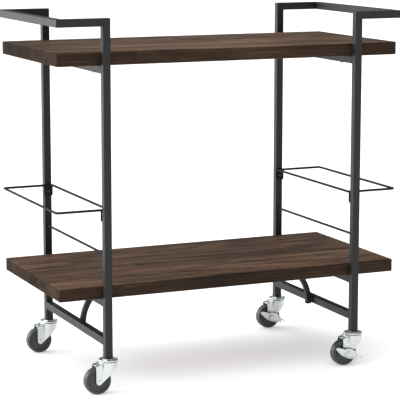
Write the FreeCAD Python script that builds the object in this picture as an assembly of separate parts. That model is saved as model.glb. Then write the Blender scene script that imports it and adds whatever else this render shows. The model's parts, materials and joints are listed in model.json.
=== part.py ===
import FreeCAD, Part

import math
import os

# Bar cart on wheels. Millimetres throughout.
# The origin is on the floor under the middle of the cart. X runs along the
# shelves, Y from the front edge to the back edge, and Z is up.

V = FreeCAD.Vector
X_AXIS = V(1, 0, 0)
Y_AXIS = V(0, 1, 0)
Z_AXIS = V(0, 0, 1)

# Square frame tube
TUBE = 19.0
TUBE_WALL = 1.5
TUBE_CORNER = 2.2

# Frame: four posts whose upper ends turn outward into the two handles
POST_X = 333.0
POST_Y = 216.0
POST_BOTTOM = 86.0
HANDLE_TOP = 894.5
HANDLE_Z = HANDLE_TOP - TUBE / 2
HANDLE_X = 447.5
POST_FACE_Y = POST_Y - TUBE / 2
STRETCHER_Z = 124.5

# Wooden shelves
SHELF_LENGTH = 900.0
SHELF_DEPTH = 412.4
SHELF_THICK = 32.0
SHELF_EDGE = 2.2
TOP_SHELF_Z = 783.5
BOTTOM_SHELF_Z = 228.0

# Pan-head screws
SCREW_R = 2.1
SCREW_HOLE_R = 2.2
SCREW_HEAD_R = 4.2
SCREW_HEAD = 2.6
SCREW_DRIVE = 0.9
SHELF_SCREW_Y = 140.0
SHELF_SCREW_LENGTH = 35.0
PILOT_DEPTH = 18.0

# Bottle rail: a closed wire loop at each end, held by two screwed tabs
WIRE_R = 3.0
LOOP_INNER_X = 324.0
LOOP_OUTER_X = 453.5
LOOP_Y = 202.4
LOOP_Z = 441.5
LOOP_BEND = 7.0
TAB_WIDTH = 23.0
TAB_THICK = 2.5
TAB_BOTTOM = 414.0
TAB_TOP = 442.5
TAB_CORNER = 4.0
TAB_SCREW_Z = 426.0
TAB_SCREW_LENGTH = 9.0
GUARD_X = 332.0
GUARD_Z = 334.0

# Curved braces between the stretchers and the lower shelf
BRACE = 13.0
BRACE_WALL = 1.2
BRACE_CORNER = 1.6
BRACE_X = POST_X - TUBE / 2 - BRACE / 2
BRACE_FOOT_Z = 115.0
BRACE_BEND_Z = 121.0
BRACE_TAIL = 30.0
BRACE_SCREW_LENGTH = 29.0
CAP_WIDTH = 14.6
CAP_THICK = 2.0
CAP_PLUG = 8.0
CAP_EDGE = 0.8

# Plastic tube inserts that hold the caster stems
INSERT_SIDE = 15.9
INSERT_HEIGHT = 24.0
INSERT_FLANGE = 1.2

# Casters. Heights are measured from a plane a little under the posts, and all
# four trail towards -X.
CASTER_Z = 84.0
STANDOFF = POST_BOTTOM - CASTER_Z
TRAIL = 28.0
AXLE_DROP = 51.5
STEM_R = 4.0
STEM_TOP = 24.0
STEM_HEAD_R = 7.5
STEM_HEAD_TOP = -8.9
STEM_HEAD_BOTTOM = -11.6
HEX_FLATS = 25.0
RUNNING = 0.05
RACE_R = 23.5
RACE_TOP = -0.8
RACE_FLOOR = -2.0
RACE_ROUND = 1.6
BALL_R = 2.0
BALL_CIRCLE_R = 13.0
BALL_Z = -5.0
BALL_COUNT = 8
CROWN_R = 23.0
CROWN_TOP = -6.0
CROWN_THICK = 2.6
FORK_R = 21.5
FORK_HALF_WIDTH = 16.0
FORK_NECK_X = -19.0
FORK_REAR_X = -35.8
FORK_PLATE = 2.0
FORK_TIP_R = 7.8
FORK_FOLD_R = 14.0
TONGUE_POCKET = 0.8
TONGUE_HALF_WIDTH = 12.5
RIB_R = 3.0
AXLE_R = 3.0
AXLE_HEAD_R = 4.5
AXLE_HEAD = 1.8
WHEEL_R = 32.5
WHEEL_WIDTH = 24.0
TREAD_EDGE = 5.0
HUB_R = 24.0
HUB_WIDTH = 22.0
HUB_BOSS_R = 7.0
HUB_BOSS_WIDTH = 27.4
HUB_DISH_R = 20.5
HUB_DISH = 0.9
GROOVE_WIDTH = 1.4
GROOVE_DEPTH = 2.4

# Brake levers on the two right-hand casters
LEVER_TILT = 27.0
LEVER_IN_Y = -22.0
LEVER_PLATE = 1.5
LEVER_RIM = 4.0
LEVER_UPPER_RIM = 2.4
LEVER_RIM_WALL = 1.4
LEVER_BOSS_R = 6.2
LEVER_DOME_R = 9.0
LEVER_DOME_TOP_R = 7.0
LEVER_DOME = 1.6
GAP = 0.3


# ------------------------------------------------------------ small helpers
def place(shape, start, direction):
    """Turn a piece drawn along +Z so that it runs from start in direction."""
    shape.Placement = FreeCAD.Placement(start, FreeCAD.Rotation(Z_AXIS, direction))
    return shape


def rounded_bar(side, corner, length):
    """Square bar along +Z with rounded long edges."""
    half = side / 2
    bar = Part.makeBox(side, side, length, V(-half, -half, 0))
    long_edges = [e for e in bar.Edges if abs(e.tangentAt(e.FirstParameter).z) > 0.5]
    return bar.makeFillet(corner, long_edges)


def square_tube(side, wall, corner, length):
    """Hollow square tube along +Z."""
    bore = rounded_bar(side - 2 * wall, corner - wall + 0.2, length)
    return rounded_bar(side, corner, length).cut(bore)


def trim(shape, point, normal):
    """Cut away what lies beyond a plane, on the side its normal points to."""
    reach = 4 * TUBE
    block = Part.makeBox(reach, reach, reach, V(-reach / 2, -reach / 2, 0))
    return shape.cut(place(block, point, normal))


def rod(radius, start, end):
    """Plain cylinder between two points."""
    return Part.makeCylinder(radius, (end - start).Length, start, end - start)


def turned(points):
    """Solid of revolution about Z from (radius, height) corners."""
    corners = [V(r, 0, z) for r, z in points]
    outline = Part.makePolygon(corners + corners[:1])
    return Part.Face(outline).revolve(V(0, 0, 0), Z_AXIS, 360)


def screw(length):
    """Pan-head screw: the head lies below z = 0 and the shank points up."""
    head = Part.makeCylinder(SCREW_HEAD_R, SCREW_HEAD, V(0, 0, -SCREW_HEAD))
    lower_rim = [e for e in head.Edges if e.BoundBox.ZMax < -SCREW_HEAD / 2]
    head = head.makeFillet(SCREW_HEAD / 2, lower_rim)
    for wide, deep in ((4.2, 0.9), (0.9, 4.2)):
        slot = Part.makeBox(wide, deep, 2 * SCREW_DRIVE)
        slot.translate(V(-wide / 2, -deep / 2, -SCREW_HEAD - SCREW_DRIVE))
        head = head.cut(slot)
    shank = Part.makeCylinder(SCREW_R, length - SCREW_R)
    point = Part.makeCone(SCREW_R, SCREW_R / 4, SCREW_R, V(0, 0, length - SCREW_R))
    return head.fuse([shank, point])


def sides():
    """Names and signs of the two ends of the cart."""
    return (("left", -1), ("right", 1))


def rows():
    """Names and signs of the front and the rear."""
    return (("front", -1), ("rear", 1))


# -------------------------------------------------------------- steel frame
def make_post(side, row):
    """Upright tube, mitred at the top where it turns into the handle."""
    foot = V(side * POST_X, row * POST_Y, POST_BOTTOM)
    tube = square_tube(TUBE, TUBE_WALL, TUBE_CORNER, HANDLE_TOP - POST_BOTTOM)
    post = trim(place(tube, foot, Z_AXIS), V(foot.x, foot.y, HANDLE_Z), V(side, 0, 1))
    inside = V(foot.x, row * (POST_FACE_Y - TAB_THICK), TAB_SCREW_Z)
    return post.cut(rod(SCREW_HOLE_R, inside, V(foot.x, foot.y, TAB_SCREW_Z)))


def make_handle(side):
    """Two arms and the grip bar, mitred into a U."""
    arm_start = POST_X - TUBE / 2
    arm_length = HANDLE_X + TUBE / 2 - arm_start
    bar_end = POST_Y + TUBE / 2
    bar = square_tube(TUBE, TUBE_WALL, TUBE_CORNER, 2 * bar_end)
    bar = place(bar, V(side * HANDLE_X, -bar_end, HANDLE_Z), Y_AXIS)
    pieces = []
    for _, row in rows():
        corner = V(side * HANDLE_X, row * POST_Y, HANDLE_Z)
        arm = square_tube(TUBE, TUBE_WALL, TUBE_CORNER, arm_length)
        arm = place(arm, V(side * arm_start, row * POST_Y, HANDLE_Z), V(side, 0, 0))
        arm = trim(arm, V(side * POST_X, row * POST_Y, HANDLE_Z), V(-side, 0, -1))
        pieces.append(trim(arm, corner, V(side, -row, 0)))
        bar = trim(bar, corner, V(-side, row, 0))
    return Part.makeCompound(pieces + [bar])


def cross_tube(side, height):
    """Tube welded between the front and the rear post."""
    tube = square_tube(TUBE, TUBE_WALL, TUBE_CORNER, 2 * POST_FACE_Y)
    return place(tube, V(side * POST_X, -POST_FACE_Y, height), Y_AXIS)


def make_shelf_rail(side, shelf_z):
    """Cross tube under a shelf, drilled for the two shelf screws."""
    rail = cross_tube(side, shelf_z - TUBE / 2)
    for _, row in rows():
        low = V(side * POST_X, row * SHELF_SCREW_Y, shelf_z - TUBE - 1)
        rail = rail.cut(rod(SCREW_HOLE_R, low, low + V(0, 0, TUBE + 2)))
    return rail


# ------------------------------------------------------------------ shelves
def brace_tail_x():
    """Distance from the middle to the screw in a brace's tail."""
    return BRACE_X - brace_radius() - BRACE_TAIL / 2


def make_shelf(shelf_z, pilots):
    """Thick board with eased edges and blind pilot holes underneath."""
    corner = V(-SHELF_LENGTH / 2, -SHELF_DEPTH / 2, shelf_z)
    board = Part.makeBox(SHELF_LENGTH, SHELF_DEPTH, SHELF_THICK, corner)
    board = board.makeFillet(SHELF_EDGE, board.Edges)
    for x, y in pilots:
        mouth = V(x, y, shelf_z - 1)
        board = board.cut(rod(SCREW_HOLE_R, mouth, mouth + V(0, 0, PILOT_DEPTH + 1)))
    return board


def shelf_screw_places():
    """Plan positions of the four screws that hold a shelf to its rails."""
    return [(s * POST_X, r * SHELF_SCREW_Y) for _, s in sides() for _, r in rows()]


def make_shelf_screws(shelf_z):
    """Four screws driven up through the rails into a shelf."""
    head_z = shelf_z - TUBE
    screws = []
    for x, y in shelf_screw_places():
        screws.append(place(screw(SHELF_SCREW_LENGTH), V(x, y, head_z), Z_AXIS))
    return Part.makeCompound(screws)


# ------------------------------------------------------------- bottle rails
def wire_loop(x_low, x_high):
    """Closed rectangle of round wire with bent corners."""
    turns = [
        (x_high - LOOP_BEND, LOOP_Y - LOOP_BEND),
        (x_low + LOOP_BEND, LOOP_Y - LOOP_BEND),
        (x_low + LOOP_BEND, LOOP_BEND - LOOP_Y),
        (x_high - LOOP_BEND, LOOP_BEND - LOOP_Y),
    ]
    pieces = []
    for index, (x, y) in enumerate(turns):
        bend = Part.makeTorus(LOOP_BEND, WIRE_R, V(0, 0, 0), Z_AXIS, 0, 360, 90)
        bend.rotate(V(0, 0, 0), Z_AXIS, 90 * index)
        bend.translate(V(x, y, LOOP_Z))
        pieces.append(bend)
    for x in (x_low, x_high):
        end = LOOP_Y - LOOP_BEND
        pieces.append(rod(WIRE_R, V(x, -end, LOOP_Z), V(x, end, LOOP_Z)))
    for y in (-LOOP_Y, LOOP_Y):
        start = V(x_low + LOOP_BEND, y, LOOP_Z)
        pieces.append(rod(WIRE_R, start, V(x_high - LOOP_BEND, y, LOOP_Z)))
    return pieces


def rail_tab(side, row):
    """Flat tab welded to the wire and screwed to a post's inner face."""
    outer = row * POST_FACE_Y
    low_y = min(outer, outer - row * TAB_THICK)
    corner = V(side * POST_X - TAB_WIDTH / 2, low_y, TAB_BOTTOM)
    tab = Part.makeBox(TAB_WIDTH, TAB_THICK, TAB_TOP - TAB_BOTTOM, corner)
    low_corners = [
        e for e in tab.Edges
        if e.BoundBox.YLength > TAB_THICK / 2 and e.BoundBox.ZMax < TAB_BOTTOM + 1
    ]
    tab = tab.makeFillet(TAB_CORNER, low_corners)
    inside = V(side * POST_X, outer - row * 2 * TAB_THICK, TAB_SCREW_Z)
    return tab.cut(rod(SCREW_HOLE_R, inside, inside + V(0, row * 3 * TAB_THICK, 0)))


def make_bottle_rail(side):
    """Wire loop with its two tabs."""
    x_low, x_high = sorted((side * LOOP_INNER_X, side * LOOP_OUTER_X))
    pieces = wire_loop(x_low, x_high) + [rail_tab(side, row) for _, row in rows()]
    return pieces[0].fuse(pieces[1:])


def make_bottle_rail_screws():
    """One screw through each tab into its post."""
    screws = []
    for _, side in sides():
        for _, row in rows():
            head = V(side * POST_X, row * (POST_FACE_Y - TAB_THICK), TAB_SCREW_Z)
            screws.append(place(screw(TAB_SCREW_LENGTH), head, V(0, row, 0)))
    return Part.makeCompound(screws)


def make_guard_rod(side):
    """Straight wire between the posts, below the bottle rail."""
    start = V(side * GUARD_X, -POST_FACE_Y, GUARD_Z)
    return rod(WIRE_R, start, V(side * GUARD_X, POST_FACE_Y, GUARD_Z))


# ------------------------------------------------------------------- braces
def brace_radius():
    """Centre-line radius that brings the brace flat under the lower shelf."""
    return BOTTOM_SHELF_Z - BRACE / 2 - BRACE_BEND_Z


def make_brace(side):
    """Small square tube: short foot, quarter bend, then a flat tail."""
    radius = brace_radius()
    foot = square_tube(BRACE, BRACE_WALL, BRACE_CORNER, BRACE_BEND_Z - BRACE_FOOT_Z)
    foot = place(foot, V(BRACE_X, 0, BRACE_FOOT_Z), Z_AXIS)
    section = [f for f in foot.Faces if f.BoundBox.ZMin > BRACE_BEND_Z - 0.01][0]
    bend = section.revolve(V(BRACE_X - radius, 0, BRACE_BEND_Z), V(0, -1, 0), 90)
    tail = square_tube(BRACE, BRACE_WALL, BRACE_CORNER, BRACE_TAIL)
    tail = place(tail, V(BRACE_X - radius, 0, BRACE_BEND_Z + radius), V(-1, 0, 0))
    brace = foot.fuse([bend, tail])
    low = V(brace_tail_x(), 0, BOTTOM_SHELF_Z - BRACE - 1)
    brace = brace.cut(rod(SCREW_HOLE_R, low, low + V(0, 0, BRACE + 2)))
    return brace if side > 0 else brace.mirror(V(0, 0, 0), X_AXIS)


def make_brace_caps():
    """Plastic cap in the lower end of each brace."""
    caps = []
    for _, side in sides():
        flange = rounded_bar(CAP_WIDTH, BRACE_CORNER + CAP_EDGE, CAP_THICK)
        low_edges = [e for e in flange.Edges if e.BoundBox.ZMax < CAP_THICK / 2]
        flange = flange.makeFillet(CAP_EDGE, low_edges)
        plug_side = BRACE - 2 * BRACE_WALL - 2 * RUNNING
        plug = rounded_bar(plug_side, CAP_EDGE, CAP_PLUG)
        plug.translate(V(0, 0, CAP_THICK))
        cap = flange.fuse(plug)
        cap.translate(V(side * BRACE_X, 0, BRACE_FOOT_Z - CAP_THICK))
        caps.append(cap)
    return Part.makeCompound(caps)


def make_brace_screws():
    """One screw up through each brace's tail into the lower shelf."""
    head_z = BOTTOM_SHELF_Z - BRACE
    screws = []
    for _, side in sides():
        head = V(side * brace_tail_x(), 0, head_z)
        screws.append(place(screw(BRACE_SCREW_LENGTH), head, Z_AXIS))
    return Part.makeCompound(screws)


# ------------------------------------------------------------------ casters
# Each piece is drawn about its post's centre line, with CASTER_Z as height 0.
def make_insert():
    """Square plug with a flange and a bore for the caster stem, from the post's end."""
    plug = rounded_bar(INSERT_SIDE, TUBE_CORNER - TUBE_WALL + 0.2, INSERT_HEIGHT)
    flange = rounded_bar(TUBE, TUBE_CORNER, INSERT_FLANGE)
    flange.translate(V(0, 0, -INSERT_FLANGE))
    bore = rod(STEM_R + RUNNING, V(0, 0, -INSERT_FLANGE - 1), V(0, 0, INSERT_HEIGHT + 1))
    return plug.fuse(flange).cut(bore)


def make_stem():
    """Stem with a thin hexagon above the race and a riveted head below."""
    corners = []
    for index in range(7):
        angle = math.pi * index / 3
        reach = HEX_FLATS / math.sqrt(3)
        corners.append(V(reach * math.cos(angle), reach * math.sin(angle), RACE_FLOOR))
    hexagon = Part.Face(Part.makePolygon(corners))
    hexagon = hexagon.extrude(V(0, 0, STANDOFF - INSERT_FLANGE - RACE_FLOOR))
    chamfer = 1.0
    pin = turned([
        (0, STEM_HEAD_BOTTOM),
        (STEM_HEAD_R - chamfer, STEM_HEAD_BOTTOM),
        (STEM_HEAD_R, STEM_HEAD_BOTTOM + chamfer),
        (STEM_HEAD_R, STEM_HEAD_TOP),
        (STEM_R, STEM_HEAD_TOP),
        (STEM_R, STEM_TOP - chamfer),
        (STEM_R - chamfer, STEM_TOP),
        (0, STEM_TOP),
    ])
    return pin.fuse(hexagon)


def ball_track():
    """Ring-shaped groove that the balls run in."""
    return Part.makeTorus(BALL_CIRCLE_R, BALL_R + RUNNING, V(0, 0, BALL_Z), Z_AXIS)


def make_race():
    """Dished upper race with a raised rim, fixed under the post."""
    bore = STEM_R + RUNNING
    cup = turned([
        (bore, -3.8),
        (bore, RACE_FLOOR),
        (17.4, RACE_FLOOR),
        (18.4, RACE_TOP),
        (RACE_R, RACE_TOP),
        (RACE_R, -4.4),
        (RACE_R - 1.6, -4.4),
        (RACE_R - 1.6, -3.8),
    ])
    rim = [e for e in cup.Edges if e.BoundBox.ZMin > RACE_TOP - 0.1]
    cup = cup.makeFillet(RACE_ROUND, [e for e in rim if e.BoundBox.XMax > RACE_R - 0.1])
    return cup.cut(ball_track())


def make_balls():
    """Ring of steel balls between the race and the fork."""
    balls = []
    for index in range(BALL_COUNT):
        angle = 2 * math.pi * index / BALL_COUNT
        x = BALL_CIRCLE_R * math.cos(angle)
        y = BALL_CIRCLE_R * math.sin(angle)
        balls.append(Part.makeSphere(BALL_R, V(x, y, BALL_Z)))
    return Part.makeCompound(balls)


def teardrop(radius, half_width, rear_x, low, high):
    """Prism whose plan is a circle running back into two parallel sides."""
    reach = math.hypot(FORK_NECK_X, half_width)
    angle = math.atan2(half_width, FORK_NECK_X) - math.acos(radius / reach)
    tangent = (radius * math.cos(angle), radius * math.sin(angle))
    upper = [tangent, (FORK_NECK_X, half_width), (rear_x, half_width)]
    lower = [(x, -y) for x, y in reversed(upper)]
    corners = [V(x, y, low) for x, y in upper + lower]
    tail = Part.Face(Part.makePolygon(corners + corners[:1])).extrude(V(0, 0, high - low))
    folds = [
        e for e in tail.Edges
        if abs(e.BoundBox.Center.x - FORK_NECK_X) < 0.1 and e.BoundBox.ZLength > 1
    ]
    tail = tail.makeFillet(FORK_FOLD_R, folds)
    disc = Part.makeCylinder(radius, high - low, V(0, 0, low))
    return disc.fuse(tail)


def side_profile(points):
    """Block cut to a side outline given as (x, z) corners."""
    corners = [V(x, -2 * CROWN_R, z) for x, z in points]
    outline = Part.Face(Part.makePolygon(corners + corners[:1]))
    return outline.extrude(V(0, 4 * CROWN_R, 0))


def fork_outline():
    """Side view of the fork: crown, rear tongue, leg and sloping front."""
    front = (20.0, -14.0)
    away = (front[0] + TRAIL, front[1] + AXLE_DROP)
    angle = math.atan2(away[1], away[0]) - math.acos(FORK_TIP_R / math.hypot(*away))
    touch = (FORK_TIP_R * math.cos(angle) - TRAIL, FORK_TIP_R * math.sin(angle) - AXLE_DROP)
    top = CROWN_TOP - CROWN_THICK / 2
    plate = side_profile([
        (24, top),
        (-19.5, top),
        (-25, -11.8),
        (FORK_REAR_X, -13.3),
        (FORK_REAR_X, -AXLE_DROP),
        touch,
        front,
        (24, -11),
    ])
    tip_start = V(-TRAIL, -2 * CROWN_R, -AXLE_DROP)
    tip = rod(FORK_TIP_R, tip_start, tip_start + V(0, 4 * CROWN_R, 0))
    return plate.fuse(tip)


def make_fork(wheel_side_holes):
    """Pressed fork: round crown, two legs and a ribbed tongue behind."""
    body = teardrop(FORK_R, FORK_HALF_WIDTH, FORK_REAR_X, -62, CROWN_TOP - 1)
    body = body.common(fork_outline())
    pocket = Part.makeBox(40, 2 * TONGUE_HALF_WIDTH, 10, V(-60, -TONGUE_HALF_WIDTH, 0))
    pocket.rotate(V(-20, 0, 0), Y_AXIS, -8)
    pocket.translate(V(0, 0, -11.2 - TONGUE_POCKET))
    body = body.cut(pocket)
    rib = rod(RIB_R, V(-24, 0, -14.0), V(-34, 0, -15.4))
    crown = Part.makeCylinder(CROWN_R, CROWN_THICK, V(0, 0, CROWN_TOP - CROWN_THICK))
    crown = crown.makeFillet(0.9, crown.Edges[0:1])
    inner = teardrop(FORK_R - FORK_PLATE, FORK_HALF_WIDTH - FORK_PLATE, -60, -70, -7)
    inner = inner.common(side_profile([
        (24, CROWN_TOP - CROWN_THICK),
        (-20.3, CROWN_TOP - CROWN_THICK),
        (-25.8, -13.8),
        (-60, -18.7),
        (-60, -70),
        (24, -70),
    ]))
    fork = body.fuse([rib, crown]).cut(inner)
    stem_hole = rod(STEM_R + RUNNING, V(0, 0, -20), V(0, 0, 0))
    return fork.cut([stem_hole, ball_track(), wheel_side_holes])


def axle_line(radius, low_y, high_y):
    """Cylinder on the axle's line."""
    start = V(-TRAIL, low_y, -AXLE_DROP)
    return rod(radius, start, V(-TRAIL, high_y, -AXLE_DROP))


def rivet_head(inner_y, outward):
    """Domed head on the axle's end."""
    outer_y = inner_y + outward * AXLE_HEAD
    head = axle_line(AXLE_HEAD_R, inner_y, outer_y)
    rim = [e for e in head.Edges if abs(e.BoundBox.Center.y - outer_y) < 0.1]
    return head.makeFillet(AXLE_HEAD / 2, [e for e in rim if e.BoundBox.XLength > 1])


def make_axle(front_end_y):
    """Axle with a rivet head at each end."""
    shaft = axle_line(AXLE_R, front_end_y, FORK_HALF_WIDTH)
    return shaft.fuse([rivet_head(front_end_y, -1), rivet_head(FORK_HALF_WIDTH, 1)])


def make_tyre():
    """Tread ring with rounded shoulders and a groove beside the hub."""
    half = WHEEL_WIDTH / 2
    tyre = axle_line(WHEEL_R, -half, half)
    tyre = tyre.makeFillet(TREAD_EDGE, [e for e in tyre.Edges if e.BoundBox.YLength < 1])
    tyre = tyre.cut(axle_line(HUB_R, -half - 1, half + 1))
    for low, high in ((-half - 1, GROOVE_DEPTH - half), (half - GROOVE_DEPTH, half + 1)):
        tyre = tyre.cut(axle_line(HUB_R + GROOVE_WIDTH, low, high))
    return tyre


def make_hub():
    """Wheel centre: solid disc, shallow dish on both faces and a boss."""
    half = HUB_WIDTH / 2
    hub = axle_line(HUB_R, -half, half)
    for low, high in ((-half - 1, HUB_DISH - half), (half - HUB_DISH, half + 1)):
        hub = hub.cut(axle_line(HUB_DISH_R, low, high))
    boss = axle_line(HUB_BOSS_R, -HUB_BOSS_WIDTH / 2, HUB_BOSS_WIDTH / 2)
    bore = axle_line(AXLE_R + RUNNING, -HUB_BOSS_WIDTH, HUB_BOSS_WIDTH)
    return hub.fuse(boss).cut(bore)


def flat(points):
    """Edges between lever-plane points; three points in a group make an arc."""
    edges = []
    for group in points:
        corners = [V(u, 0, v) for u, v in group]
        edge = Part.Arc(*corners).toShape() if len(group) == 3 else Part.makeLine(*corners)
        edges.append(edge)
    return Part.Face(Part.Wire(Part.sortEdges(edges)[0]))


def make_lever():
    """Brake rocker: leaf-shaped pan with turned-out rims, a tail and two toes."""
    tail_low, belly, heel = (-34.3, -2.1), (2, -9.2), (24.5, -2.9)
    root, lobe, neck, tail_top = (29, 8.6), (10, 15.8), (-13, 8), (-31.7, 4.9)
    plate = flat([
        (tail_low, belly, heel),
        (heel, (34.5, -1.4)),
        ((34.5, -1.4), (36, 0.4), (34.8, 2)),
        ((34.8, 2), (30.5, 3.8)),
        ((30.5, 3.8), (42, 6)),
        ((42, 6), (43.8, 7.8), (42.4, 9.4)),
        ((42.4, 9.4), root),
        (root, lobe, neck),
        (neck, tail_top),
        (tail_top, (-34.6, 1.5), tail_low),
    ]).extrude(V(0, -LEVER_PLATE, 0))
    wall = LEVER_RIM_WALL
    inner_tail, inner_heel = (tail_low[0] + 0.4, tail_low[1] + wall), (heel[0], heel[1] + wall)
    lower_rim = flat([
        (tail_low, belly, heel),
        (heel, inner_heel),
        (inner_heel, (belly[0], belly[1] + wall), inner_tail),
        (inner_tail, tail_low),
    ]).extrude(V(0, -LEVER_PLATE - LEVER_RIM, 0))
    inner_root, inner_neck = (root[0], root[1] - wall), (neck[0], neck[1] - wall)
    upper_rim = flat([
        (root, lobe, neck),
        (neck, inner_neck),
        (inner_neck, (lobe[0], lobe[1] - wall), inner_root),
        (inner_root, root),
    ]).extrude(V(0, -LEVER_PLATE - LEVER_UPPER_RIM, 0))
    dome = Part.makeCone(
        LEVER_DOME_R, LEVER_DOME_TOP_R, LEVER_DOME, V(0, -LEVER_PLATE, 0), V(0, -1, 0)
    )
    dome = dome.common(plate.translated(V(0, -LEVER_DOME, 0)))
    boss_length = FORK_HALF_WIDTH + GAP + LEVER_IN_Y
    boss = rod(LEVER_BOSS_R, V(0, 0, 0), V(0, -boss_length, 0))
    lever = plate.fuse([lower_rim, upper_rim, dome, boss])
    bore = rod(AXLE_R + RUNNING, V(0, -LEVER_RIM * 2, 0), V(0, LEVER_RIM * 3, 0))
    lever = lever.cut(bore)
    lever.rotate(V(0, 0, 0), Y_AXIS, LEVER_TILT)
    lever.translate(V(-TRAIL, LEVER_IN_Y, -AXLE_DROP))
    return lever


def lever_outer_y():
    """Where the axle head sits outside a brake lever."""
    return LEVER_IN_Y - LEVER_PLATE - LEVER_DOME - GAP


def caster_pieces(braked):
    """All the pieces of one caster by name."""
    front_end_y = lever_outer_y() if braked else -FORK_HALF_WIDTH
    holes = axle_line(AXLE_R + RUNNING, -3 * CROWN_R, 3 * CROWN_R)
    pieces = {
        "stem": make_stem(),
        "race": make_race(),
        "balls": make_balls(),
        "fork": make_fork(holes),
        "axle": make_axle(front_end_y),
        "hub": make_hub(),
        "tyre": make_tyre(),
    }
    if braked:
        pieces["brake_lever"] = make_lever()
    return pieces


# ----------------------------------------------------------------- assembly
def frame_nodes():
    """Steel frame, shelves, rails and braces."""
    nodes = {}
    for name, side in sides():
        for row_name, row in rows():
            nodes[f"{name}_{row_name}_post"] = make_post(side, row)
        nodes[f"{name}_handle"] = make_handle(side)
        nodes[f"{name}_upper_rail"] = make_shelf_rail(side, TOP_SHELF_Z)
        nodes[f"{name}_lower_rail"] = make_shelf_rail(side, BOTTOM_SHELF_Z)
        nodes[f"{name}_stretcher"] = cross_tube(side, STRETCHER_Z)
        nodes[f"{name}_bottle_rail"] = make_bottle_rail(side)
        nodes[f"{name}_guard_rod"] = make_guard_rod(side)
        nodes[f"{name}_brace"] = make_brace(side)
    tail_holes = [(s * brace_tail_x(), 0) for _, s in sides()]
    nodes["top_shelf"] = make_shelf(TOP_SHELF_Z, shelf_screw_places())
    nodes["bottom_shelf"] = make_shelf(BOTTOM_SHELF_Z, shelf_screw_places() + tail_holes)
    nodes["top_shelf_screws"] = make_shelf_screws(TOP_SHELF_Z)
    nodes["bottom_shelf_screws"] = make_shelf_screws(BOTTOM_SHELF_Z)
    nodes["bottle_rail_screws"] = make_bottle_rail_screws()
    nodes["brace_caps"] = make_brace_caps()
    nodes["brace_screws"] = make_brace_screws()
    return nodes


def caster_nodes():
    """Four casters and the tube inserts they are pushed into."""
    nodes = {}
    inserts = []
    for name, side in sides():
        pieces = caster_pieces(side > 0)
        for row_name, row in rows():
            centre = V(side * POST_X, row * POST_Y, CASTER_Z)
            for piece, shape in pieces.items():
                nodes[f"{name}_{row_name}_{piece}"] = shape.translated(centre)
            inserts.append(make_insert().translated(centre + V(0, 0, STANDOFF)))
    nodes["tube_inserts"] = Part.makeCompound(inserts)
    return nodes


def main():
    os.makedirs("parts", exist_ok=True)
    for name, shape in {**frame_nodes(), **caster_nodes()}.items():
        shape.exportStep(f"parts/{name}.step")


main()
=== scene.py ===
import json
import math

import bpy
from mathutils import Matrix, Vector


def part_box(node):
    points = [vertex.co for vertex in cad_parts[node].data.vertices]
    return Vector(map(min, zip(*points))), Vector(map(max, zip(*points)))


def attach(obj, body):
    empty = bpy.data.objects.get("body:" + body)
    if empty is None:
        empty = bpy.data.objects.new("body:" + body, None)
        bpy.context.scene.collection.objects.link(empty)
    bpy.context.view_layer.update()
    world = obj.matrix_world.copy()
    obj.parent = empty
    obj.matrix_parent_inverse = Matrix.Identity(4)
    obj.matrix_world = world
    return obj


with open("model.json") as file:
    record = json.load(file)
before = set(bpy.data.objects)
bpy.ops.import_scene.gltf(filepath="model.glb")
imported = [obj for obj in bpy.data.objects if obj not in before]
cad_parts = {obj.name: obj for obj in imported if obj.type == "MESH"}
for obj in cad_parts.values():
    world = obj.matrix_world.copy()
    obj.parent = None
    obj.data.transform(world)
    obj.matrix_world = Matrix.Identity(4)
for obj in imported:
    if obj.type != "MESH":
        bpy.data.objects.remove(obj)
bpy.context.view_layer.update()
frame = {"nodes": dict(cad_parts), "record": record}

MM = 0.001
SIDES = ("left", "right")
ROWS = ("front", "rear")
WHITE = (1.0, 1.0, 1.0, 1.0)

# Most of a noise's values lie between these two
NOISE_LOW = 0.3
NOISE_HIGH = 0.7

# Shelves: glued staves, the butt joints along them, and the growth rings
STAVES_PER_METRE = 14.5
STAVE_UNEVEN = 0.6
BUTTS_PER_METRE = 1.1
BUTT_UNEVEN = 0.9
RING_SCALE = 230.0
RING_SHARPNESS = 2.2

# Glue lines: their reach as a share of a stave or a length, and how dark they are
SEAM_SHARE = 0.0006
SEAM_DARK = 0.4
BUTT_SHARE = 0.0004
BUTT_DARK = 0.25

# Weld beads, and the tube corners and wires they lie against
TUBE_CORNER = 2.2 * MM
WIRE = 6.0 * MM
TAB_THICK = 2.5 * MM
RAIL_BEAD = 1.3 * MM
RAIL_BEAD_INSET = 1.5 * MM
BRACE_BEAD = 1.0 * MM
BRACE_BEAD_INSET = 2.0 * MM
ROD_BEAD = 0.8 * MM
ROD_BEAD_STEPS = 16
TAB_BEAD = 0.9 * MM
MITRE_BEAD = 0.35 * MM
BEAD_SIDES = 8

# Raised ring on both faces of a wheel centre: radii, and heights from its middle
RING_INNER = 8.6 * MM
RING_OUTER = 10.0 * MM
RING_FOOT = 10.1 * MM
RING_TOP = 11.3 * MM
RING_SHOULDER = 0.2 * MM
RING_CROWN = 0.5 * MM
RING_STEPS = 64

# Rounded edges of the pressed steel
FORK_EDGE = 0.8 * MM
LEVER_EDGE = 0.35 * MM
EDGE_GAP = 0.01 * MM
SHARP_ANGLE = math.radians(40)

# Studio
FLOOR_REACH = 60.0
FLOOR_DROP = 0.3 * MM
CART_MIDDLE = Vector((0, 0, 0.45))
CAMERA_DOWN = 9.07
CAMERA_TURN = -23.77


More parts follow.
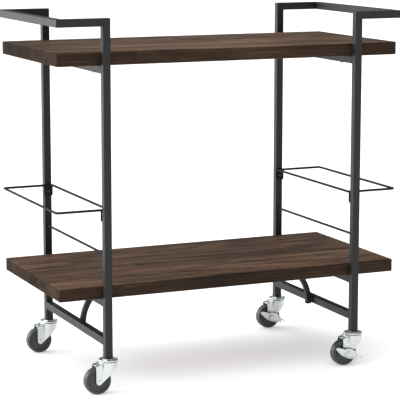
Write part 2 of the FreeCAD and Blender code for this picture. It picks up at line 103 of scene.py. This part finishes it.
# ---------------------------------------------------------------- node trees
class Tree:
    """A material's node tree with short calls for the nodes used here."""

    def __init__(self, name):
        self.material = bpy.data.materials.new(name)
        self.material.use_nodes = True
        self.nodes = self.material.node_tree.nodes
        self.links = self.material.node_tree.links
        self.shader = self.nodes["Principled BSDF"]
        self.place = self.add("ShaderNodeTexCoord").outputs["Object"]

    def feed(self, socket, value):
        """Link a socket to another one, or give it a plain value."""
        if isinstance(value, bpy.types.NodeSocket):
            self.links.new(value, socket)
        else:
            socket.default_value = value

    def add(self, kind, inputs=None, **settings):
        made = self.nodes.new(kind)
        for key, value in settings.items():
            setattr(made, key, value)
        for key, value in (inputs or {}).items():
            self.feed(made.inputs[key], value)
        return made

    def math(self, operation, a, b=0.0):
        return self.add("ShaderNodeMath", {0: a, 1: b}, operation=operation).outputs[0]

    def plus(self, first, *others):
        for other in others:
            first = self.math("ADD", first, other)
        return first

    def minus(self, first, *others):
        for other in others:
            first = self.math("SUBTRACT", first, other)
        return first

    def times(self, a, b):
        return self.math("MULTIPLY", a, b)

    def split(self, vector):
        return self.add("ShaderNodeSeparateXYZ", {0: vector}).outputs

    def stretch(self, scale, vector=None):
        inputs = {0: vector or self.place, 1: scale}
        return self.add("ShaderNodeVectorMath", inputs, operation="MULTIPLY").outputs[0]

    def noise(self, vector, scale=1.0, detail=4.0, roughness=0.55):
        inputs = {"Vector": vector, "Scale": scale, "Detail": detail, "Roughness": roughness}
        return self.add("ShaderNodeTexNoise", inputs).outputs[0]

    def spread(self, value, low, high, to_low=0.0, to_high=1.0):
        inputs = {
            "Value": value,
            "From Min": low,
            "From Max": high,
            "To Min": to_low,
            "To Max": to_high,
        }
        return self.add("ShaderNodeMapRange", inputs).outputs[0]

    def fade(self, value, at_zero, at_one):
        """One number where the value is 0, another where it is 1."""
        return self.spread(value, 0.0, 1.0, at_zero, at_one)

    def vary(self, noise, low, high):
        """A noise turned into numbers between low and high."""
        return self.spread(noise, NOISE_LOW, NOISE_HIGH, low, high)

    def ramp(self, value, stops):
        made = self.add("ShaderNodeValToRGB", {0: value})
        band = made.color_ramp
        for position, _ in stops[1:-1]:
            band.elements.new(position)
        for element, (position, colour) in zip(band.elements, stops):
            element.position = position
            element.color = (*colour, 1.0)
        return made.outputs[0]

    def bump(self, height, distance, strength, under=None):
        inputs = {"Height": height, "Distance": distance, "Strength": strength}
        if under is not None:
            inputs["Normal"] = under
        return self.add("ShaderNodeBump", inputs).outputs[0]

    def join(self, **sockets):
        """Feed the shader's sockets and give back the finished material."""
        for key, value in sockets.items():
            self.feed(self.shader.inputs[key.replace("_", " ")], value)
        return self.material


# -------------------------------------------------------------------- walnut
def cells(tree, along, per_metre, uneven):
    """Uneven lengths along an axis: each one's three chance numbers and its
    middle, and how far it is to the nearest end."""
    kind = "ShaderNodeTexVoronoi"
    inputs = {"W": along, "Scale": per_metre, "Randomness": uneven}
    cell = tree.add(kind, inputs, voronoi_dimensions="1D").outputs
    edge = tree.add(kind, inputs, voronoi_dimensions="1D", feature="DISTANCE_TO_EDGE").outputs
    chance = tree.add("ShaderNodeSeparateColor", {0: cell["Color"]}).outputs
    return chance, cell["W"], edge["Distance"]


def growth_rings(tree, across, middle, height, chance, wander):
    """Rings about a pith that lies above or below each length of wood."""
    off_y = tree.plus(tree.minus(across, middle), tree.fade(chance[1], -0.03, 0.03))
    off_z = tree.minus(height, tree.fade(chance[2], -0.3, 0.1))
    squares = tree.plus(tree.math("POWER", off_y, 2.0), tree.math("POWER", off_z, 2.0))
    radius = tree.plus(tree.math("SQRT", squares), tree.times(wander, 0.06))
    rings = tree.math("PINGPONG", tree.times(radius, RING_SCALE), 1.0)
    return tree.math("POWER", rings, RING_SHARPNESS)


def glue_lines(tree, seam, butt):
    """Thin dark lines between staves and where two lengths butt."""
    seam = tree.times(tree.spread(seam, 0.0, SEAM_SHARE, 1.0, 0.0), SEAM_DARK)
    butt = tree.times(tree.spread(butt, 0.0, BUTT_SHARE, 1.0, 0.0), BUTT_DARK)
    return tree.math("MAXIMUM", seam, butt)


def walnut(name, seed):
    """Dark stained walnut: staves along X, growth rings, pores, thin glue lines, and faces
    looking up or down painted lighter than the edges.
    """
    tree = Tree(name)
    axes = tree.split(tree.place)
    across = tree.plus(axes[1], seed)
    stave, middle, seam = cells(tree, across, STAVES_PER_METRE, STAVE_UNEVEN)
    along = tree.plus(axes[0], tree.times(stave[0], 7.0))
    length, _, butt = cells(tree, along, BUTTS_PER_METRE, BUTT_UNEVEN)
    moved = {
        0: tree.plus(axes[0], tree.times(length[1], 5.0)),
        1: tree.plus(axes[1], tree.times(stave[1], 3.0)),
        2: tree.plus(axes[2], tree.times(length[2], 2.0)),
    }
    board = tree.add("ShaderNodeCombineXYZ", moved).outputs[0]

    wander = tree.noise(tree.stretch((1.6, 7.0, 7.0), board))
    rings = growth_rings(tree, across, middle, axes[2], length, wander)
    fine = tree.noise(tree.stretch((8.0, 240.0, 240.0), board), detail=6.0, roughness=0.65)
    streak = tree.noise(tree.stretch((4.5, 64.0, 64.0), board), detail=5.0, roughness=0.6)
    cloud = tree.noise(tree.stretch((3.2, 13.0, 13.0), board), detail=3.0)
    pore = tree.noise(tree.stretch((38.0, 1500.0, 1500.0), board), detail=2.0)
    pore = tree.spread(pore, 0.56, 0.66)
    line = glue_lines(tree, seam, butt)

    facing = tree.split(tree.add("ShaderNodeNewGeometry").outputs["True Normal"])
    flat = tree.math("ABSOLUTE", facing[2])
    ended = tree.math("ABSOLUTE", facing[0])
    figure = tree.plus(tree.vary(streak, -0.17, 0.17), tree.vary(fine, -0.18, 0.18))
    tone = tree.plus(
        # faces looking up or down lighter than the edges: partly the edges' darker stain, partly
        # painted overhead light on the flats and painted shade on the edges
        tree.fade(flat, 0.28, 0.60),
        tree.fade(ended, 0.0, -0.07),
        tree.fade(length[0], -0.025, 0.025),
        tree.fade(stave[2], -0.06, 0.06),
        tree.vary(cloud, -0.13, 0.13),
        tree.times(figure, tree.fade(flat, 0.55, 1.25)),
    )
    late_wood = tree.times(rings, tree.fade(flat, 0.12, 0.22))
    tone = tree.minus(tone, late_wood, tree.times(pore, 0.14), line)
    browns = [
        (0.0, (0.011, 0.0059, 0.0035)),
        (0.3, (0.040, 0.0223, 0.0129)),
        (0.6, (0.109, 0.0605, 0.0350)),
        (1.0, (0.275, 0.160, 0.092)),
    ]
    relief = tree.bump(tree.plus(fine, tree.times(pore, -0.8)), 0.3 * MM, 0.35)
    return tree.join(
        Base_Color=tree.ramp(tone, browns),
        Roughness=tree.plus(tree.vary(fine, 0.44, 0.58), tree.times(ended, 0.4)),
        Specular_IOR_Level=0.12,
        Normal=tree.bump(line, -0.4 * MM, 0.6, relief),
    )


# ----------------------------------------------------------- other materials
def powder_coat(name, dark, light, shine):
    """Charcoal powder coat: fine orange peel, faint mottling, rubbed high spots."""
    tree = Tree(name)
    peel = tree.noise(tree.place, scale=1500.0, detail=2.0)
    mottle = tree.noise(tree.place, scale=24.0, detail=5.0)
    speck = tree.spread(tree.noise(tree.place, scale=3200.0, detail=1.0), 0.62, 0.74)
    value = tree.plus(tree.vary(mottle, 0.35, 0.65), tree.times(speck, 0.3))
    greys = [(0.0, (dark, dark, dark * 1.05)), (1.0, (light, light, light * 1.05))]
    return tree.join(
        Base_Color=tree.ramp(value, greys),
        Roughness=tree.vary(mottle, 0.46, 0.53),
        Specular_IOR_Level=shine,
        Normal=tree.bump(peel, 0.08 * MM, 0.5),
    )


def zinc(name, bright, blue, rough):
    """Bright zinc plate: faint crystal patches, fine wipe marks and a blue cast."""
    tree = Tree(name)
    inputs = {"Vector": tree.place, "Scale": 900.0, "Randomness": 1.0}
    spangle = tree.add("ShaderNodeTexVoronoi", inputs).outputs["Distance"]
    wipe = tree.noise(tree.stretch((260.0, 260.0, 2600.0)))
    cloud = tree.noise(tree.place, scale=90.0, detail=3.0)
    value = tree.plus(tree.vary(cloud, 0.3, 0.7), tree.fade(spangle, -0.1, 0.1))
    low = (bright * 0.92, bright * (0.94 + blue), bright * (0.94 + blue))
    high = (bright, bright * (1.0 + blue), bright * (1.0 + blue))
    dull = tree.vary(cloud, rough - 0.04, rough + 0.04)
    return tree.join(
        Base_Color=tree.ramp(value, [(0.0, low), (1.0, high)]),
        Metallic=1.0,
        Roughness=tree.plus(dull, tree.fade(spangle, -0.02, 0.03)),
        Normal=tree.bump(wipe, 0.02 * MM, 0.25),
    )


def moulded(name, dark, light, rough, grain):
    """Moulded plastic or rubber: matt skin with fine grain and faint flow marks."""
    tree = Tree(name)
    skin = tree.noise(tree.place, scale=grain, detail=3.0)
    flow = tree.noise(tree.stretch((40.0, 70.0, 40.0)))
    return tree.join(
        Base_Color=tree.ramp(tree.vary(flow, 0.0, 1.0), [(0.0, dark), (1.0, light)]),
        Roughness=tree.vary(flow, rough - 0.05, rough + 0.07),
        Specular_IOR_Level=0.45,
        Normal=tree.bump(skin, 0.12 * MM, 0.4),
    )


def black_oxide():
    """Black screw finish: dark metal with worn highlights."""
    tree = Tree("black_oxide")
    wear = tree.noise(tree.place, scale=700.0)
    greys = [(0.0, (0.02, 0.02, 0.022)), (1.0, (0.075, 0.075, 0.08))]
    return tree.join(
        Base_Color=tree.ramp(tree.spread(wear, 0.35, 0.7), greys),
        Metallic=0.6,
        Roughness=tree.vary(wear, 0.34, 0.5),
        Normal=tree.bump(wear, 0.05 * MM, 0.4),
    )


def floor_paint():
    """Plain pale floor with a hint of unevenness."""
    tree = Tree("floor_paint")
    cloud = tree.noise(tree.place, scale=2.0, detail=2.0)
    greys = [(0.0, (0.80, 0.80, 0.80)), (1.0, (0.84, 0.84, 0.84))]
    return tree.join(
        Base_Color=tree.ramp(cloud, greys),
        Roughness=0.75,
        Specular_IOR_Level=0.2,
        Emission_Color=WHITE,
        Emission_Strength=0.4,
    )


def finishes():
    """The record's material slots and the material each one gets."""
    centre = (0.033, 0.0335, 0.035), (0.046, 0.047, 0.049)
    tread = (0.036, 0.0365, 0.0375), (0.052, 0.0525, 0.054)
    plastic = (0.012, 0.012, 0.012), (0.022, 0.022, 0.022)
    return {
        "black_frame": powder_coat("powder_coat", 0.010, 0.022, 0.32),
        "walnut": walnut("walnut_lower", 0.31),
        "zinc": zinc("zinc_plate", 0.69, 0.04, 0.34),
        "ball_steel": zinc("ball_steel", 0.62, 0.01, 0.12),
        "wheel_centre": moulded("wheel_centre", *centre, 0.38, 900.0),
        "wheel_tread": moulded("wheel_tread", *tread, 0.42, 1300.0),
        "black_screws": black_oxide(),
        "black_plastic": moulded("black_plastic", *plastic, 0.45, 1100.0),
    }


def paint(node, material):
    mesh = frame["nodes"][node].data
    mesh.materials.clear()
    mesh.materials.append(material)


def paint_nodes(materials):
    """Each part gets its slot's finish; the upper shelf its own walnut, and the wires a copy of
    the frame's powder coat with almost no shine, as painted shade.
    """
    for part in frame["record"]["subparts"]:
        paint(part["node"], materials[part["material_slot"]])
    paint("top_shelf", walnut("walnut_upper", 0.77))
    # the frame's powder coat with almost no shine, so the wires read darker: painted shade
    shaded_wire_coat = powder_coat("shaded_wire_coat", 0.014, 0.025, 0.05)
    for side in SIDES:
        paint(f"{side}_bottle_rail", shaded_wire_coat)
        paint(f"{side}_guard_rod", shaded_wire_coat)


# ------------------------------------------------------------- pressed steel
def soften(node, width):
    """Round a pressed piece's sharp edges a little."""
    target = frame["nodes"][node]
    weld = target.modifiers.new("weld", "WELD")
    weld.merge_threshold = EDGE_GAP
    bevel = target.modifiers.new("bevel", "BEVEL")
    bevel.width = width
    bevel.segments = 2
    bevel.limit_method = "ANGLE"
    bevel.angle_limit = SHARP_ANGLE
    bevel.harden_normals = True


def soften_steel():
    """The caster forks and the brake levers."""
    for side in SIDES:
        for row in ROWS:
            soften(f"{side}_{row}_fork", FORK_EDGE)
    for row in ROWS:
        soften(f"right_{row}_brake_lever", LEVER_EDGE)


# --------------------------------------------------------------- weld beads
def new_piece(name, vertices, faces, material, body):
    mesh = bpy.data.meshes.new(name)
    mesh.from_pydata(vertices, [], faces)
    mesh.shade_smooth()
    mesh.materials.append(material)
    piece = bpy.data.objects.new(name, mesh)
    bpy.context.scene.collection.objects.link(piece)
    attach(piece, body)
    return piece


def resample(points, step):
    """Points about one step apart along a polyline."""
    walked = []
    for start, end in zip(points, points[1:]):
        count = max(1, round((end - start).length / step))
        walked += [start.lerp(end, index / count) for index in range(count)]
    return walked + [points[-1]]


def bead_section(walked, index, radius):
    """A bead's outline at one point of its path: rippled, thinner at both ends."""
    last = len(walked) - 1
    before = walked[max(index - 1, 0)]
    after = walked[min(index + 1, last)]
    tangent = (after - before).normalized()
    side = tangent.orthogonal().normalized()
    other = tangent.cross(side)
    taper = min(1.0, 0.35 + 0.3 * min(index, last - index))
    size = radius * taper * (1.0 + 0.13 * math.sin(index * 1.9))
    outline = []
    for turn in range(BEAD_SIDES):
        angle = 2 * math.pi * turn / BEAD_SIDES
        offset = side * math.cos(angle) + other * math.sin(angle)
        outline.append(walked[index] + offset * size)
    return outline


def bead_mesh(points, radius):
    """Rippled tube along a path, as a weld bead looks under paint."""
    walked = resample(points, radius * 0.7)
    vertices, faces = [], []
    for index in range(len(walked)):
        vertices += bead_section(walked, index, radius)
    for index in range(len(walked) - 1):
        for turn in range(BEAD_SIDES):
            a = index * BEAD_SIDES + turn
            b = index * BEAD_SIDES + (turn + 1) % BEAD_SIDES
            faces.append((a, b, b + BEAD_SIDES, a + BEAD_SIDES))
    faces.append(tuple(reversed(range(BEAD_SIDES))))
    faces.append(tuple(range(len(vertices) - BEAD_SIDES, len(vertices))))
    return vertices, faces


def beads(name, paths, radius, material):
    """Several weld beads as one piece on the frame."""
    vertices, faces = [], []
    for path in paths:
        new_vertices, new_faces = bead_mesh(path, radius)
        faces += [tuple(i + len(vertices) for i in face) for face in new_faces]
        vertices += new_vertices
    piece = new_piece(name, vertices, faces, material, "frame")


def cross_tube_welds(material):
    """Beads in the corners where each cross tube meets its two posts."""
    for side in SIDES:
        for tube, top_too in (("upper_rail", False), ("lower_rail", False), ("stretcher", True)):
            low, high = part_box(f"{side}_{tube}")
            start, end = low.x + RAIL_BEAD_INSET, high.x - RAIL_BEAD_INSET
            paths = []
            for y in (low.y, high.y):
                for z in (low.z, high.z) if top_too else (low.z,):
                    paths.append([Vector((start, y, z)), Vector((end, y, z))])
            beads(f"{side}_{tube}_welds", paths, RAIL_BEAD, material)


def brace_welds(material):
    """Beads down both sides of each brace where it lies against its stretcher."""
    for side in SIDES:
        brace_low, brace_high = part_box(f"{side}_brace")
        low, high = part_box(f"{side}_stretcher")
        x = max(low.x, brace_low.x) if side == "right" else min(high.x, brace_high.x)
        bottom, top = low.z + BRACE_BEAD_INSET, high.z - BRACE_BEAD_INSET
        paths = []
        for y in (brace_low.y, brace_high.y):
            paths.append([Vector((x, y, bottom)), Vector((x, y, top))])
        beads(f"{side}_brace_welds", paths, BRACE_BEAD, material)


def rod_welds(material):
    """Ring beads at both ends of each guard rod."""
    for side in SIDES:
        low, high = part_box(f"{side}_guard_rod")
        centre = (low + high) / 2
        reach = (high.x - low.x) / 2
        paths = []
        for y in (low.y, high.y):
            around = []
            for step in range(ROD_BEAD_STEPS + 1):
                angle = 2 * math.pi * step / ROD_BEAD_STEPS
                offset = Vector((math.cos(angle), 0, math.sin(angle))) * reach
                around.append(Vector((centre.x, y, centre.z)) + offset)
            paths.append(around)
        beads(f"{side}_guard_rod_welds", paths, ROD_BEAD, material)


def tab_welds(material):
    """Beads under the wire where it crosses each tab."""
    for side in SIDES:
        low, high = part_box(f"{side}_bottle_rail")
        post_low, post_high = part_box(f"{side}_front_post")
        start, end = post_low.x + WIRE, post_high.x - WIRE
        z = high.z - WIRE
        paths = []
        for y in (low.y + TAB_THICK, high.y - TAB_THICK):
            paths.append([Vector((start, y, z)), Vector((end, y, z))])
        beads(f"{side}_tab_welds", paths, TAB_BEAD, material)


def mitre_loop(*corners):
    """Closed path round a mitre, pulled in to lie on the tube's rounded corners."""
    corners = [Vector(corner) for corner in corners]
    middle = sum(corners, Vector()) / len(corners)
    loop = []
    for corner in corners + corners[:1]:
        reach = corner - middle
        loop.append(middle + reach * (1 - TUBE_CORNER / reach.length))
    return loop


def post_mitres(side, low, high):
    """Seams where the posts turn out into the handle."""
    loops = []
    for row in ROWS:
        post_low, post_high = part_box(f"{side}_{row}_post")
        inner = post_low.x if side == "right" else post_high.x
        outer = post_high.x if side == "right" else post_low.x
        loop = mitre_loop(
            (inner, post_low.y, high.z),
            (inner, post_high.y, high.z),
            (outer, post_high.y, low.z),
            (outer, post_low.y, low.z),
        )
        loops.append(loop)
    return loops


def grip_mitres(side, low, high):
    """Seams where the handle's two arms meet its grip bar."""
    tube = high.z - low.z
    outer = high.x if side == "right" else low.x
    inner = outer - tube if side == "right" else outer + tube
    loops = []
    for y_outer, y_inner in ((low.y, low.y + tube), (high.y, high.y - tube)):
        loop = mitre_loop(
            (outer, y_outer, low.z),
            (outer, y_outer, high.z),
            (inner, y_inner, high.z),
            (inner, y_inner, low.z),
        )
        loops.append(loop)
    return loops


def mitre_seams(material):
    """Ground seams around the mitred corners of the handles."""
    for side in SIDES:
        low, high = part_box(f"{side}_handle")
        beads(f"{side}_post_mitres", post_mitres(side, low, high), MITRE_BEAD, material)
        beads(f"{side}_grip_mitres", grip_mitres(side, low, high), MITRE_BEAD, material)


# ------------------------------------------------------------ wheel details
def hub_ring(vertices, faces, centre, toward):
    """Low rounded ring about the axle line, on one face of a wheel centre."""
    profile = [
        (RING_INNER, RING_FOOT),
        (RING_INNER + RING_SHOULDER, RING_TOP - RING_SHOULDER),
        (RING_INNER + RING_CROWN, RING_TOP),
        (RING_OUTER - RING_CROWN, RING_TOP),
        (RING_OUTER - RING_SHOULDER, RING_TOP - RING_SHOULDER),
        (RING_OUTER, RING_FOOT),
    ]
    start = len(vertices)
    size = len(profile)
    for step in range(RING_STEPS):
        angle = 2 * math.pi * step / RING_STEPS
        for radius, height in profile:
            offset = (radius * math.cos(angle), toward * height, radius * math.sin(angle))
            vertices.append(centre + Vector(offset))
    for step in range(RING_STEPS):
        here = start + step * size
        ahead = start + (step + 1) % RING_STEPS * size
        for index in range(size):
            after = (index + 1) % size
            face = (here + index, here + after, ahead + after, ahead + index)
            faces.append(face if toward > 0 else face[::-1])


def wheel_marks(material):
    """Raised ring moulded into both faces of each wheel centre."""
    for side in SIDES:
        for row in ROWS:
            low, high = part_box(f"{side}_{row}_hub")
            vertices, faces = [], []
            for toward in (-1, 1):
                hub_ring(vertices, faces, (low + high) / 2, toward)
            name, wheel = f"{side}_{row}_hub_rings", f"{side}_{row}_wheel"
            piece = new_piece(name, vertices, faces, material, wheel)


# -------------------------------------------------------------------- studio
def make_floor():
    reach = FLOOR_REACH
    corners = [(-reach, -reach, 0), (reach, -reach, 0), (reach, reach, 0), (-reach, reach, 0)]
    mesh = bpy.data.meshes.new("floor")
    mesh.from_pydata(corners, [], [(0, 1, 2, 3)])
    mesh.materials.append(floor_paint())
    floor = bpy.data.objects.new("floor", mesh)
    floor.location.z = -FLOOR_DROP
    bpy.context.scene.collection.objects.link(floor)


def aim_light(name, data, where):
    """Place a light and turn it to the middle of the cart."""
    light = bpy.data.objects.new(name, data)
    light.location = where
    aim = CART_MIDDLE - Vector(where)
    light.rotation_euler = aim.to_track_quat("-Z", "Y").to_euler()
    bpy.context.scene.collection.objects.link(light)


def sky_light(name, where, strength, degrees):
    """Light from a broad patch of sky."""
    data = bpy.data.lights.new(name, "SUN")
    data.energy = strength
    data.angle = math.radians(degrees)
    aim_light(name, data, where)


def round_lamp(name, where, watts, width):
    """A large round lamp."""
    data = bpy.data.lights.new(name, "AREA")
    data.energy = watts
    data.shape = "DISK"
    data.size = width
    aim_light(name, data, where)


def glow(shader, strength):
    """Make a background shader plain white at a given strength."""
    shader.inputs["Color"].default_value = WHITE
    shader.inputs["Strength"].default_value = strength
    return shader.outputs[0]


def make_world():
    """White all round, though only a dim light falls on the cart from it."""
    world = bpy.data.worlds.new("studio")
    world.use_nodes = True
    nodes, links = world.node_tree.nodes, world.node_tree.links
    mix = nodes.new("ShaderNodeMixShader")
    links.new(nodes.new("ShaderNodeLightPath").outputs["Is Camera Ray"], mix.inputs[0])
    links.new(glow(nodes["Background"], 0.25), mix.inputs[1])
    links.new(glow(nodes.new("ShaderNodeBackground"), 1.0), mix.inputs[2])
    links.new(mix.outputs[0], nodes["World Output"].inputs[0])
    bpy.context.scene.world = world


def make_studio():
    make_floor()
    sky_light("ceiling", (-1.4, 0.3, 4.0), 3.2, 100)
    round_lamp("side", (-5.0, 1.2, 2.0), 120, 2.6)
    round_lamp("rim", (-6.0, 9.5, 2.4), 340, 5.0)
    make_world()
    bpy.context.scene.view_settings.view_transform = "Standard"


def make_camera():
    """Front left and a little above, with a long lens."""
    data = bpy.data.cameras.new("camera")
    data.lens = 155.0
    data.sensor_width = 36.0
    data.shift_x = 0.0185
    data.shift_y = -0.04
    data.clip_end = 100.0
    camera = bpy.data.objects.new("camera", data)
    camera.location = (-1.759, -3.955, 1.1436)
    camera.rotation_euler = (math.radians(90 - CAMERA_DOWN), 0, math.radians(CAMERA_TURN))
    bpy.context.scene.collection.objects.link(camera)
    bpy.context.scene.camera = camera


# ---------------------------------------------------------------------- run
materials = finishes()
paint_nodes(materials)
soften_steel()
for add_welds in (cross_tube_welds, brace_welds, rod_welds, tab_welds, mitre_seams):
    add_welds(materials["black_frame"])
wheel_marks(materials["wheel_centre"])
make_studio()
make_camera()
